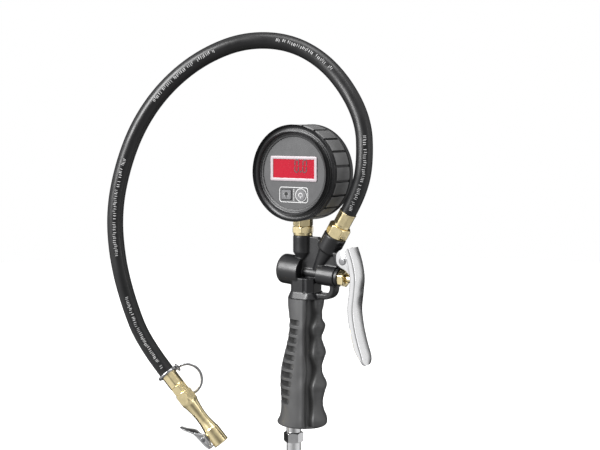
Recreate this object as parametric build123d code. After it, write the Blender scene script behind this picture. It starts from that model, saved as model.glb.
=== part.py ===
from build123d import *
import math
import os

# Hand-held tyre inflator gun: inlet plug, pistol grip, valve block with squeeze lever,
# digital gauge in a rubber boot, and an air hose with a clip-on chuck and a key ring.
# Millimetres. Z runs up the handle, the gauge faces -Y, the lever is on +X.
# The origin is on the inlet plug's axis, at the shoulder of its nose.

# ---------------------------------------------------------------- driving dimensions
FIT = 0.05                      # radial clearance of a running fit

PLUG_RADIUS = 5.9               # quarter-inch industrial plug
PLUG_NOSE_RADIUS = 3.95
PLUG_BORE_RADIUS = 2.5
PLUG_HEX_FLATS = 14.0
PLUG_THREAD_RADIUS = 6.0
PLUG_THREAD_TOP = 43.0
WASHER_RADIUS = 8.0
WASHER_HEIGHT = 1.5

HANDLE_BOTTOM = 36.5
GRIP_TOP = 140.0
GRIP_PARTING_X = 20.5           # where the palm shell meets the finger shell
GRIP_DEPTH_TOP = 14.5           # half depth of the grip along Y
GRIP_DEPTH_TAPER = 0.025        # added half depth for each mm below the top
SLOT_COUNT = 10
SLOT_PITCH = 7.1
SLOT_HEIGHT = 4.4
SLOT_DEPTH = 1.8
SLOT_TOP_Z = 121.5

MAST_X = 9.0
VALVE_HEIGHT = 160.8
VALVE_TILT = 4.0                # degrees below +X
OUTLET_TILT = 31.0              # degrees from +Z toward +X
OUTLET_FOOT = (21.3, 0, 161)

VALVE_CHAMBER_RADIUS = 7.0
VALVE_SEAT = -5.0               # along the valve axis from the mast
ROD_RADIUS = 3.0
ROD_TIP = 51.0
STEM_RADIUS = 1.6

PIVOT = (50.3, 0, 172.3)
LEVER_HALF_WIDTH = 8.0
LEVER_SHEET = 1.5

GAUGE_CENTER_Z = 239.5
GAUGE_FRONT = -19.0
GAUGE_BACK = 15.0
BOOT_RADIUS = 38.0
DIAL_RADIUS = 28.4
CASE_RADIUS = 34.0
CASE_WALL = 2.2
DIAL_FACE = -13.3
LCD_HEIGHT_ABOVE_CENTER = 3.5
PANEL_BELOW_CENTER = 17.0
BUTTON_TRAVEL = 0.6
BOARD_FACE = -8.0
SWITCH_HEIGHT = 1.0

HOSE_RADIUS = 6.5
HOSE_BORE_RADIUS = 3.25
HOSE_STUB = 10.0                # length crimped inside each ferrule

CHUCK_DIRECTION = Vector(0.64, 0.16, -0.75).normalized()
CHUCK_CLIP_SIDE = Vector(-0.62, -0.47, -0.63)
CHUCK_START = Vector(-92.0, -47.0, 74.5)
CHUCK_MOUTH = 71.6              # along the chuck from the end of the hose
CHUCK_HEAD_RADIUS = 6.5
MOUTH_RADIUS = 4.1              # slips over an 8V1 tyre valve, 7.7 mm across its thread
SEAL_RADIUS = 3.6
SEAL_SPAN = (58.0, 61.0)        # along the chuck
CLIP_PIVOT = (9.7, 60.4)        # sideways and along the chuck

# ---------------------------------------------------------------- working planes
valve_plane = Plane(
    origin=(MAST_X, 0, VALVE_HEIGHT),
    x_dir=(0, 1, 0),
    z_dir=(math.cos(math.radians(VALVE_TILT)), 0, -math.sin(math.radians(VALVE_TILT))),
)
outlet_direction = Vector(math.sin(math.radians(OUTLET_TILT)), 0, math.cos(math.radians(OUTLET_TILT)))
outlet_plane = Plane(origin=OUTLET_FOOT, x_dir=(0, 1, 0), z_dir=outlet_direction)
mast_plane = Plane(origin=(MAST_X, 0, 0))
CORE_PLANE = Plane(origin=(0, 0, 44), z_dir=(MAST_X, 0, 106))
gauge_plane = Plane(origin=(MAST_X, 0, GAUGE_CENTER_Z), x_dir=(1, 0, 0), z_dir=(0, 1, 0))
clip_side = (CHUCK_CLIP_SIDE - CHUCK_DIRECTION * CHUCK_CLIP_SIDE.dot(CHUCK_DIRECTION)).normalized()
chuck_plane = Plane(origin=CHUCK_START, x_dir=clip_side, z_dir=CHUCK_DIRECTION)


# ---------------------------------------------------------------- shape helpers
def rod(plane, radius, start, end):
    """A round bar along the plane's normal."""
    return plane * Pos(0, 0, (start + end) / 2) * Cylinder(radius, end - start)


def tube(plane, outer, inner, start, end):
    return rod(plane, outer, start, end) - rod(plane, inner, start, end)


def hexagon(plane, flats, start, end, chamfer_size=0.8):
    """A hexagon bar whose corners are turned down at both ends."""
    bar = extrude(RegularPolygon(flats / 2, 6, major_radius=False), end - start)
    corner = flats / math.sqrt(3)
    limit = turned(Plane.XY, [
        (0, 0), (corner - chamfer_size, 0), (corner + chamfer_size / 4, chamfer_size),
        (corner + chamfer_size / 4, end - start - chamfer_size),
        (corner - chamfer_size, end - start), (0, end - start),
    ])
    return plane * Pos(0, 0, start) * (bar & limit)


def turned(plane, outline):
    """A solid of revolution about the plane's normal from (radius, along) points."""
    points = [(radius, 0, along) for radius, along in outline]
    face = make_face(Polyline(*points, close=True))
    return plane * revolve(face, Axis.Z)


def slab(outline, half_width):
    """A plate in the X-Z plane, given by (x, z) points, centred on Y = 0."""
    face = make_face(Polyline(*[(x, 0, z) for x, z in outline], close=True))
    return extrude(face, half_width, dir=(0, 1, 0), both=True)


def block(center, size):
    return Pos(*center) * Box(*size)


def on_gauge(shape, x, height, depth):
    """Put a shape drawn flat in X-Y, rising along Z, on the gauge face."""
    return gauge_plane * Pos(x, -height, depth) * shape


def plate(width, height, thickness, corner):
    return extrude(RectangleRounded(width, height, corner), thickness)


def coil(plane, radius, wire, start, end, turns):
    """A compression or torsion spring as a swept helix."""
    path = Helix(pitch=(end - start - wire) / turns, height=end - start - wire, radius=radius)
    section = Plane(origin=path @ 0, z_dir=path % 0) * Circle(wire / 2)
    return plane * Pos(0, 0, start + wire / 2) * sweep(section, path, is_frenet=True)


# ---------------------------------------------------------------- inlet plug
def inlet_plug():
    outline = [
        (PLUG_BORE_RADIUS, -10), (PLUG_NOSE_RADIUS - 0.6, -10), (PLUG_NOSE_RADIUS, -9),
        (PLUG_NOSE_RADIUS, 0), (PLUG_RADIUS, 1.6), (PLUG_RADIUS, 5.5), (4.5, 6.6),
        (4.5, 9.4), (PLUG_RADIUS, 10.5), (PLUG_RADIUS, 21.5), (PLUG_BORE_RADIUS, 21.5),
    ]
    nose = turned(Plane.XY, outline)
    nut = hexagon(Plane.XY, PLUG_HEX_FLATS, 21, 29) - rod(Plane.XY, PLUG_BORE_RADIUS, 20, 30)
    thread = tube(Plane.XY, PLUG_THREAD_RADIUS, PLUG_BORE_RADIUS, 28.5, PLUG_THREAD_TOP)
    return nose + nut + thread


def inlet_washer():
    """Sealing ring, sunk in the bottom of the casting around the plug."""
    return tube(Plane.XY, WASHER_RADIUS, PLUG_THREAD_RADIUS, HANDLE_BOTTOM, HANDLE_BOTTOM + WASHER_HEIGHT)


# ---------------------------------------------------------------- grip
# height, palm-side reach and finger-side reach of the grip's silhouette
GRIP_STATIONS = [
    (36.5, -15.6, 30.2), (38.5, -15.8, 31.8), (42.0, -13.9, 32.4), (49.0, -12.2, 29.8),
    (57.0, -12.3, 28.9), (65.0, -12.7, 30.4), (70.4, -12.9, 32.0), (77.0, -12.6, 29.6),
    (85.0, -11.4, 28.8), (91.0, -9.9, 29.6), (96.0, -8.5, 31.0), (102.0, -6.8, 29.4),
    (109.0, -5.2, 28.4), (114.0, -4.5, 29.6), (117.6, -4.2, 30.5), (122.0, -4.1, 29.2),
    (128.0, -4.5, 28.8), (134.0, -5.3, 29.4), (140.0, -5.4, 29.8),
]
OBLIQUE = 0.42                  # how much of the depth shows in the silhouette


def grip_section(height, palm, finger, inset=0.0):
    """Two half ellipses, so that the palm side and the finger side swell separately."""
    depth = GRIP_DEPTH_TOP + GRIP_DEPTH_TAPER * (GRIP_TOP - height)
    center = (palm + 30.0) / 2
    back = math.sqrt((center - palm) ** 2 - OBLIQUE * depth ** 2) - inset
    front = math.sqrt((finger - center) ** 2 - OBLIQUE * depth ** 2) - inset
    depth -= inset
    middle = (center, 0, height)
    plane = Plane(origin=middle)
    front_arc = EllipticalCenterArc((0, 0), front, depth, start_angle=-90, arc_size=180)
    back_arc = EllipticalCenterArc((0, 0), back, depth, start_angle=90, arc_size=180)
    return plane * make_face(Curve() + [front_arc, back_arc])


def grip_body(inset=0.0):
    return loft([grip_section(*station, inset) for station in GRIP_STATIONS])


def palm_slots():
    """Stadium-shaped cutters that wrap the palm side, shorter toward the bottom."""
    cutters = []
    for index in range(SLOT_COUNT):
        height = SLOT_TOP_Z - SLOT_PITCH * index
        end = 15.4 - 1.0 * index
        reach = end + 30
        stadium = Rectangle(reach, SLOT_HEIGHT) + Pos(reach / 2, 0) * Circle(SLOT_HEIGHT / 2)
        cutters.append(Pos(end - reach / 2 - SLOT_HEIGHT / 2, 25, height) * Rot(90, 0, 0)
                       * extrude(stadium, 50))
    return cutters


def handle_core():
    """The cast air tube inside the grip, leaning from the plug up to the valve."""
    socket = rod(Plane.XY, 9.0, HANDLE_BOTTOM, 50)
    return socket + rod(CORE_PLANE, 6.0, 0, 104)


def grip_shells():
    outer = grip_body()
    hollow = handle_core()
    skin_cuts = Part() + palm_slots()
    skin_cuts -= grip_body(SLOT_DEPTH)
    body = outer - hollow - rod(Plane.XY, 9.0, HANDLE_BOTTOM - 2, HANDLE_BOTTOM + 1)
    palm_side = block((GRIP_PARTING_X - 40, 0, 90), (80, 60, 130))
    finger_side = block((GRIP_PARTING_X + 40, 0, 90), (80, 60, 130))
    return (body & palm_side) - skin_cuts, body & finger_side


# ---------------------------------------------------------------- valve block
def web():
    outline = [
        (3, 150), (3, 162), (8, 189), (24, 189), (31, 181), (45, 178.5),
        (50, 166.5), (42, 160), (25, 156), (21.5, 150),
    ]
    plate_part = slab(outline, 2.4)
    lug = Pos(*PIVOT) * Rot(90, 0, 0) * Cylinder(6.0, 12)
    lug_arm = slab([(40, 178), (50, 178.3), (50.3, 166.3), (42, 168)], 6.0)
    return plate_part + lug + lug_arm


def neck():
    """Faceted column under the rear cylinder and the shoulder that caps the grip."""
    shoulder = loft([
        Plane(origin=(12.4, 0, GRIP_TOP)) * RectangleRounded(28, 25, 9),
        Plane(origin=(12.2, 0, GRIP_TOP + 5)) * RectangleRounded(22, 20, 5),
    ])
    column = block((12.0, 0, 150), (21.5, 20, 13))
    groove = block((16.0, -11, 152), (2.0, 4, 14)) + block((16.0, 11, 152), (2.0, 4, 14))
    return shoulder + (chamfer(column.edges().filter_by(Axis.Z), 4) - groove)


def finger_guard():
    """The J-shaped hook from the front of the handle up to the front boss."""
    path = FilletPolyline((24, 0, 142.6), (38.5, 0, 142.6), (38.5, 0, 152), radius=7)
    section = Plane(origin=path @ 0, x_dir=(0, 1, 0), z_dir=path % 0) * RectangleRounded(9, 4.6, 1.2)
    return sweep(section, path)


def valve_body():
    rear = rod(valve_plane, 12.0, -19.3, 1.0)
    rear = fillet(rear.edges().filter_by(GeomType.CIRCLE).sort_by(Axis.X)[0], 3.0)
    front = rod(valve_plane, 8.25, 16, 32)
    stem_case = rod(valve_plane, 4.2, -1, 17)
    mast = rod(mast_plane, 3.6, 158, 173)
    gauge_boss = turned(mast_plane, [
        (0, 170.4), (4.0, 170.4), (7.9, 176.5), (7.9, 189.2), (7.2, 189.9), (0, 189.9),
    ])
    outlet_boss = turned(outlet_plane, [
        (0, -1), (3.2, -1), (6.6, 20), (9.25, 22), (9.25, 34.4), (8.6, 35), (0, 35),
    ])
    body = rear + front + stem_case + mast + gauge_boss + outlet_boss
    body += web() + neck() + finger_guard() + handle_core()
    gland_clearance = rod(valve_plane, 8.6, 32, 46)
    return body - valve_passages() - plunger_way() - gland_clearance


def valve_passages():
    """Air ways: handle to chamber, seat to outlet, and up to the gauge."""
    socket = rod(Plane.XY, PLUG_THREAD_RADIUS, HANDLE_BOTTOM - 1, PLUG_THREAD_TOP + 1)
    washer_seat = rod(Plane.XY, WASHER_RADIUS, HANDLE_BOTTOM - 1, HANDLE_BOTTOM + WASHER_HEIGHT)
    riser = rod(CORE_PLANE, 2.6, -6, 100)
    crossway = rod(Plane(origin=CORE_PLANE.origin + CORE_PLANE.z_dir * 99, z_dir=(-7, 0, 15)), 2.6, -1, 17)
    gauge_way = rod(mast_plane, 1.6, VALVE_HEIGHT, 181)
    gauge_socket = rod(mast_plane, 4.8, 179, 191)
    outlet_way = rod(outlet_plane, 2.0, 0, 28)
    outlet_socket = rod(outlet_plane, 6.0, 26.5, 36)
    return Part() + [socket, washer_seat, riser, crossway, gauge_way, gauge_socket, outlet_way, outlet_socket]


def plunger_way():
    chamber = rod(valve_plane, VALVE_CHAMBER_RADIUS, -20, VALVE_SEAT)
    stem_bore = rod(valve_plane, 2.6, VALVE_SEAT - 1, 25)
    gland_socket = rod(valve_plane, 5.0, 20, 33)
    pin_bore = Pos(*PIVOT) * Rot(90, 0, 0) * Cylinder(2.0, 20)
    return Part() + [chamber, stem_bore, gland_socket, pin_bore]


def valve_rear_cap():
    return rod(valve_plane, VALVE_CHAMBER_RADIUS, -17.6, -14.6)


def valve_spring():
    return coil(valve_plane, 4.2, 0.9, -14.5, -8.6, 3)


def valve_poppet():
    """Disc that shuts the seat, with a guide boss inside the spring."""
    return turned(valve_plane, [
        (0, -9.9), (2.8, -9.9), (3.2, -9.5), (3.2, -8.5), (5.6, -8.5), (5.6, -6.6), (0, -6.6),
    ])


def poppet_seal():
    return tube(valve_plane, 5.2, STEM_RADIUS, -6.6, VALVE_SEAT - 0.05)


def valve_plunger():
    stem = rod(valve_plane, STEM_RADIUS, -6.6, 27)
    tip_start = ROD_TIP - 1.5
    bar = turned(valve_plane, [
        (0, 26), (ROD_RADIUS, 26), (ROD_RADIUS, tip_start), (ROD_RADIUS - 0.7, ROD_TIP - 0.4),
        (1.4, ROD_TIP), (0, ROD_TIP),
    ])
    return stem + bar


def gland_nut():
    shank = rod(valve_plane, 5.0, 27, 35.5)
    head = hexagon(valve_plane, 12.5, 35, 40.5)
    return shank + head - rod(valve_plane, ROD_RADIUS + FIT, 24, 42)


def gland_lock_ring():
    return tube(valve_plane, 7.4, 5.0, 32, 35)


def stem_seal():
    return tube(valve_plane, 5.0, ROD_RADIUS + FIT, 25.2, 27)


# ---------------------------------------------------------------- lever
# outer face of the lever in the X-Z plane, from the top to the tip
LEVER_OUTER = [
    (55.5, 182.6), (59.6, 171), (61.6, 160), (60.8, 147), (59.6, 135), (61.4, 121),
    (64.8, 108), (68.2, 97.5), (69.0, 92.0),
]


def offset_points(points, distance):
    """Shift a run of points sideways, toward the handle."""
    shifted = []
    for index, (x, z) in enumerate(points):
        before = points[max(index - 1, 0)]
        after = points[min(index + 1, len(points) - 1)]
        along = Vector(after[0] - before[0], after[1] - before[1]).normalized()
        shifted.append((x + along.Y * distance, z - along.X * distance))
    return shifted


def lever_band(near, far):
    """The region between two parallels of the lever's outer face."""
    outer = [(x, 0, z) for x, z in offset_points(LEVER_OUTER, near)]
    inner = [(x, 0, z) for x, z in offset_points(LEVER_OUTER, far)]
    edges = [Spline(*outer), Line(outer[-1], inner[-1]), Spline(*inner), Line(inner[0], outer[0])]
    return make_face(Curve() + edges)


def trigger_lever():
    """A pressed channel: outer web, two flanges and two pivot ears."""
    face = extrude(lever_band(0, LEVER_SHEET), LEVER_HALF_WIDTH, dir=(0, 1, 0), both=True)
    flanges = extrude(lever_band(LEVER_SHEET / 2, 5.0), LEVER_HALF_WIDTH, dir=(0, 1, 0), both=True)
    ear_outline = [
        (56, 182.3), (47.5, 180.6), (44.6, 177.4), (45.2, 170), (48, 167.6), (58, 162.5), (60.4, 166),
    ]
    ears = slab(ear_outline, LEVER_HALF_WIDTH)
    inner_width = 2 * (LEVER_HALF_WIDTH - LEVER_SHEET)
    hollow = block((50, 0, 135), (60, inner_width, 120))
    sides = (flanges + ears) - hollow
    pin_hole = Pos(*PIVOT) * Rot(90, 0, 0) * Cylinder(2.0 + FIT, 20)
    return face + sides - pin_hole


def trigger_pin():
    """A headed pin, riveted over on the far side."""
    across = Pos(*PIVOT) * Rot(90, 0, 0)
    shank = across * Cylinder(2.0, 2 * LEVER_HALF_WIDTH + 0.4)
    heads = [Pos(0, side * (LEVER_HALF_WIDTH + 0.7), 0) * across * Cylinder(3.1, 1.2) for side in (-1, 1)]
    return shank + heads


# ---------------------------------------------------------------- gauge
def gauge_boot():
    """Rubber boot: thick rounded front rim, ribbed waist, thinner back rim."""
    ring = [
        (CASE_RADIUS, GAUGE_BACK - 2.5), (31, GAUGE_BACK - 2.5), (31, GAUGE_BACK), (36.8, GAUGE_BACK),
        (BOOT_RADIUS, GAUGE_BACK - 1.2), (BOOT_RADIUS, GAUGE_BACK - 5), (36.6, GAUGE_BACK - 5.6),
        (36.6, GAUGE_FRONT + 7.4), (BOOT_RADIUS, GAUGE_FRONT + 6.6), (BOOT_RADIUS, GAUGE_FRONT + 3.4),
        (37.0, GAUGE_FRONT + 1.0), (34.6, GAUGE_FRONT), (31.6, GAUGE_FRONT + 0.4),
        (DIAL_RADIUS + 0.6, GAUGE_FRONT + 2.4), (DIAL_RADIUS, DIAL_FACE), (CASE_RADIUS, DIAL_FACE),
    ]
    boot = turned(gauge_plane, ring)
    stem_hole = rod(mast_plane, 8.2, 195, 209)
    pads = []
    for index in range(20):
        if index == 15:
            continue
        angle = index * 18.0
        pads.append(gauge_plane * Rot(0, 0, angle + 180) * Pos(37.0, 0, (GAUGE_FRONT + GAUGE_BACK) / 2 + 1.4)
                    * Box(1.6, 9.6, 18.4))
    return boot + pads - stem_hole


def gauge_case():
    """Plastic cup with a battery door opening in its back."""
    inner = CASE_RADIUS - CASE_WALL
    cup = turned(gauge_plane, [
        (0, 12.5), (CASE_RADIUS, 12.5), (CASE_RADIUS, DIAL_FACE), (inner, DIAL_FACE),
        (inner, 10), (0, 10),
    ])
    door_opening = on_gauge(plate(36, 30, 6, 2), 0, 0, 9)
    stem_hole = rod(mast_plane, 4.8, 200, 212)
    return cup - door_opening - stem_hole - case_screw_holes()


def case_screw_positions():
    return [(sx * 21.5, sz * 18.0) for sx in (-1, 1) for sz in (-1, 1)]


def case_screw_holes():
    return Part() + [on_gauge(Cylinder(1.25, 8), x, z, 11) for x, z in case_screw_positions()]


def case_screws():
    screws = Part()
    for x, z in case_screw_positions():
        shank = on_gauge(Cylinder(1.25, 7.5), x, z, 8.75)
        head = on_gauge(Cylinder(2.3, 1.2), x, z, 13.1)
        slot = on_gauge(Box(3.2, 0.6, 0.6), x, z, 13.6)
        screws += shank + head - slot
    return screws


def battery_door():
    return on_gauge(plate(36, 30, 2.5, 2), 0, 0, 10) + on_gauge(plate(14, 3, 0.8, 1), 0, 8, 12.5)


def batteries():
    cells = [on_gauge(Rot(0, 90, 0) * Cylinder(5.2, 43.5), 0, side * 5.6, 4.4) for side in (-1, 1)]
    tips = [on_gauge(Rot(0, 90, 0) * Cylinder(1.9, 1.0), side * 22.25, side * 5.6, 4.4) for side in (-1, 1)]
    return Part() + cells + tips


def battery_contacts():
    strips = []
    for side in (-1, 1):
        strips.append(on_gauge(Box(0.6, 20, 8), side * 23.05, 0, 4.4))
    return Part() + strips


def circuit_board():
    return on_gauge(Cylinder(30.5, 1.6), 0, 0, BOARD_FACE + 0.8)


def pressure_sensor():
    body = on_gauge(Box(14, 12, 9.2), 0, -21.5, BOARD_FACE + 6.2)
    return body - rod(mast_plane, 2.2, 200, 221)


def dial_plate():
    disc = on_gauge(Cylinder(CASE_RADIUS - CASE_WALL, 2.4), 0, 0, DIAL_FACE + 1.2)
    window = on_gauge(Box(38.4, 16.8, 8), 0, LCD_HEIGHT_ABOVE_CENTER, DIAL_FACE)
    left, right = button_positions()
    left_hole = on_gauge(Box(9.6, 8.2, 8), *left, DIAL_FACE)
    right_hole = on_gauge(Cylinder(4.9, 8), *right, DIAL_FACE)
    return disc - window - left_hole - right_hole


def lcd_frame():
    ring = plate(43, 19.4, 0.8, 1.2) - Pos(0, 0, -1) * extrude(Rectangle(38.4, 16.8), 4)
    return on_gauge(ring, 0, LCD_HEIGHT_ABOVE_CENTER, DIAL_FACE - 0.8)


def lcd_screen():
    return on_gauge(Box(38.2, 16.6, 2.6), 0, LCD_HEIGHT_ABOVE_CENTER, DIAL_FACE + 1.1)


def lcd_window():
    return on_gauge(Box(38.2, 16.6, 0.5), 0, LCD_HEIGHT_ABOVE_CENTER, DIAL_FACE - 0.45)


def button_positions():
    return (-6.6, -PANEL_BELOW_CENTER), (6.8, -PANEL_BELOW_CENTER)


def button_surround():
    """Thin raised outline around the pair of buttons, with a bar between them."""
    frame_ring = plate(26.8, 12.2, 0.5, 2.4) - Pos(0, 0, -1) * plate(25.4, 10.8, 3, 1.8)
    divider = Pos(0, 0, 0.25) * Box(0.6, 10.9, 0.5)
    return on_gauge(frame_ring + divider, 0, -PANEL_BELOW_CENTER, DIAL_FACE - 0.5)


def button(cap_size, x, height):
    cap = on_gauge(cap_size, x, height, DIAL_FACE - 1.2)
    stalk_end = BOARD_FACE - SWITCH_HEIGHT - BUTTON_TRAVEL - 0.1
    stalk_length = stalk_end - DIAL_FACE
    stalk = on_gauge(Cylinder(1.8, stalk_length), x, height, DIAL_FACE + stalk_length / 2)
    return cap + stalk


def button_left():
    return button(extrude(RectangleRounded(9.0, 7.6, 1.2), 3.0), *button_positions()[0])


def button_right():
    return button(extrude(Circle(4.6), 3.0), *button_positions()[1])


def button_switches():
    """Tactile switches on the circuit board behind the buttons."""
    return Part() + [
        on_gauge(Box(6, 6, SWITCH_HEIGHT), x, z, BOARD_FACE - SWITCH_HEIGHT / 2)
        for x, z in button_positions()
    ]


def gauge_stem():
    hex_part = hexagon(mast_plane, 14.0, 197, 205.4, 0.6)
    thread = rod(mast_plane, 4.8, 180, 212)
    spigot = rod(mast_plane, 2.2, 211, 220)
    return hex_part + thread + spigot - rod(mast_plane, 1.2, 179, 221)


def gauge_nut():
    ring = hexagon(mast_plane, 15.5, 191.6, 197) + rod(mast_plane, 7.7, 189.9, 191.7)
    return ring - rod(mast_plane, 4.8, 189, 198)


# ---------------------------------------------------------------- outlet and hose
def outlet_fitting():
    hex_part = hexagon(outlet_plane, 16.0, 35, 44.5)
    thread = rod(outlet_plane, 6.0, 27.5, 35.5)
    barb = barbed(outlet_plane, 44.5, 66)
    return hex_part + thread + barb - rod(outlet_plane, 2.0, 27, 67)


def barbed(plane, start, end):
    """A straight hose tail with a tapered tip."""
    return turned(plane, [
        (0, start - 1), (HOSE_BORE_RADIUS, start - 1), (HOSE_BORE_RADIUS, end - 2),
        (HOSE_BORE_RADIUS - 0.8, end), (0, end),
    ])


def crimped_ferrule(plane, outer, start, end, inner):
    """A brass sleeve pressed into flats around the end of the hose."""
    sleeve = rod(plane, outer, start, end)
    octagon = RegularPolygon(outer * 0.965, 8, major_radius=False)
    flats = plane * Pos(0, 0, start) * extrude(octagon, end - start)
    rim = rod(plane, outer, start, start + 1.6)
    return (sleeve & flats) + rim - rod(plane, inner, start - 1, end + 1)


GUN_STUB_RADIUS = 5.8
CHUCK_STUB_RADIUS = 5.2
OUTLET_EXIT = 57.0
CHUCK_FERRULE = 12.9
hose_exit = Vector(*OUTLET_FOOT) + outlet_direction * OUTLET_EXIT


def hose_ferrule_gun():
    return crimped_ferrule(outlet_plane, 7.0, 44.5, OUTLET_EXIT, GUN_STUB_RADIUS)


def hose_ferrule_chuck():
    return crimped_ferrule(chuck_plane, 6.4, 0, CHUCK_FERRULE, CHUCK_STUB_RADIUS)


# The hose hangs in one wide loop; these are the corners of its route.
HOSE_ROUTE = [
    hose_exit, hose_exit + outlet_direction * 17,
    Vector(66, -1, 247.5), Vector(62, 3, 283), Vector(36, 3, 320), Vector(5, -6, 341),
    Vector(-30, -21, 344), Vector(-62, -36, 331), Vector(-89, -49, 308), Vector(-110, -58, 278),
    Vector(-123, -64, 243), Vector(-130, -67, 206), Vector(-128, -66, 168), Vector(-121, -61, 132),
    CHUCK_START - CHUCK_DIRECTION * 32, CHUCK_START,
]


def hose_radii():
    """Each bend takes 0.45 of its shorter run on either side of the corner."""
    radii = []
    for before, corner, after in zip(HOSE_ROUTE, HOSE_ROUTE[1:], HOSE_ROUTE[2:]):
        arriving = corner - before
        leaving = after - corner
        half_turn = math.radians(arriving.get_angle(leaving)) / 2
        radii.append(0.45 * min(arriving.length, leaving.length) / math.tan(half_turn))
    return radii


def hose():
    path = FilletPolyline(*HOSE_ROUTE, radius=hose_radii())
    section = Plane(origin=path @ 0, z_dir=path % 0) * (Circle(HOSE_RADIUS) - Circle(HOSE_BORE_RADIUS))
    main = sweep(section, path)
    gun_end = tube(outlet_plane, GUN_STUB_RADIUS, HOSE_BORE_RADIUS, OUTLET_EXIT - HOSE_STUB, OUTLET_EXIT)
    chuck_end = tube(chuck_plane, CHUCK_STUB_RADIUS, HOSE_BORE_RADIUS, 0, HOSE_STUB)
    area = math.pi * (HOSE_RADIUS ** 2 - HOSE_BORE_RADIUS ** 2)
    print("hose radii", [round(radius) for radius in hose_radii()])
    print("hose length", round(path.length, 1), "volume ratio", round(main.volume / (area * path.length), 4))
    return main + gun_end + chuck_end


# ---------------------------------------------------------------- chuck
def chuck_coupling():
    """Hex collar with the hose tail."""
    collar = hexagon(chuck_plane, 12.2, CHUCK_FERRULE, 19.7, 0.5)
    tail = turned(chuck_plane, [
        (0, -9), (HOSE_BORE_RADIUS - 0.8, -9), (HOSE_BORE_RADIUS, -7),
        (HOSE_BORE_RADIUS, CHUCK_FERRULE + 1), (0, CHUCK_FERRULE + 1),
    ])
    spigot = rod(chuck_plane, 4.0, 19.5, 25)
    return collar + tail + spigot - rod(chuck_plane, 1.8, -10, 26)


def chuck_body():
    """Brass body: hexagon shoulder, slim waist and round head with an open mouth."""
    seam = 19.7
    shoulder = hexagon(chuck_plane, 14.0, seam, seam + 13, 0.4)
    limit = turned(chuck_plane, [
        (0, seam), (7.4, seam), (8.2, seam + 3), (8.2, seam + 8), (6.4, seam + 14), (0, seam + 14),
    ])
    waist = chuck_waist(seam)
    head = turned(chuck_plane, [
        (0, 56.9), (6.2, 56.9), (CHUCK_HEAD_RADIUS, 57.6), (CHUCK_HEAD_RADIUS, CHUCK_MOUTH - 0.4),
        (CHUCK_HEAD_RADIUS - 0.4, CHUCK_MOUTH), (0, CHUCK_MOUTH),
    ])
    body = (shoulder & limit) + waist + head
    socket = rod(chuck_plane, 4.0, seam - 1, 25.2)
    passage = rod(chuck_plane, 1.8, 24, 60)
    seal_seat = rod(chuck_plane, SEAL_RADIUS, *SEAL_SPAN)
    mouth = rod(chuck_plane, MOUTH_RADIUS, SEAL_SPAN[1], CHUCK_MOUTH + 1)
    jaw_slot = chuck_plane * Pos(6.5, 0, CHUCK_MOUTH - 2.2) * Box(6.5, 3.6, 6.0)
    return body - socket - passage - seal_seat - mouth - jaw_slot


def chuck_waist(seam):
    """Concave neck between the shoulder and the head."""
    profile = Spline(
        (7.0, 0, seam + 8), (5.5, 0, seam + 17), (4.85, 0, seam + 25), (5.3, 0, seam + 32), (6.4, 0, 57.4),
    )
    face = make_face(Curve() + [
        profile, Line(profile @ 1, (0, 0, 57.4)), Line((0, 0, 57.4), (0, 0, seam + 8)),
        Line((0, 0, seam + 8), profile @ 0),
    ])
    return chuck_plane * revolve(face, Axis.Z)


def chuck_seal():
    return tube(chuck_plane, SEAL_RADIUS, 1.7, *SEAL_SPAN)


def chuck_core_pin():
    """Pin that presses the tyre valve open, on a three-legged spider."""
    pin = rod(chuck_plane, 0.9, 50, SEAL_SPAN[1])
    legs = [chuck_plane * Rot(0, 0, angle) * Pos(0.88, 0, 52) * Box(1.76, 0.7, 4) for angle in (0, 120, 240)]
    return pin + legs


def clip_frame(x, y, along):
    return chuck_plane * Pos(x, y, along)


def clip_bracket():
    """Two cheeks standing off the head, joined along it."""
    pivot_x, pivot_along = CLIP_PIVOT
    cheeks = [
        clip_frame(pivot_x - 2.2, side * 2.6, pivot_along) * Box(7.4, 1.2, 6.4) for side in (-1, 1)
    ]
    base = clip_frame(6.2, 0, pivot_along) * Box(2.2, 4.2, 6.4)
    solid = Part() + cheeks + base
    pin_hole = clip_frame(pivot_x, 0, pivot_along) * Rot(90, 0, 0) * Cylinder(1.2, 12)
    return solid - rod(chuck_plane, CHUCK_HEAD_RADIUS, 50, 70) - pin_hole


def clip_pin():
    pivot_x, pivot_along = CLIP_PIVOT
    across = clip_frame(pivot_x, 0, pivot_along) * Rot(90, 0, 0)
    heads = [across * Pos(0, 0, side * 5.15) * Cylinder(2.0, 0.7) for side in (-1, 1)]
    return across * Cylinder(1.2, 10.2) + heads


def clip_spring():
    pivot_x, pivot_along = CLIP_PIVOT
    plane = chuck_plane * Plane(origin=(pivot_x, 0, pivot_along), z_dir=(0, 1, 0))
    return coil(plane, 1.8, 0.6, -1.8, 1.8, 4)


# outline of the clip lever beside the head: (sideways, along) points
CLIP_OUTER = [
    (18.9, 40.5), (17.0, 46.0), (13.4, 52.0), (12.6, 58.0), (12.2, 64.5), (10.8, 69.4),
]


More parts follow.
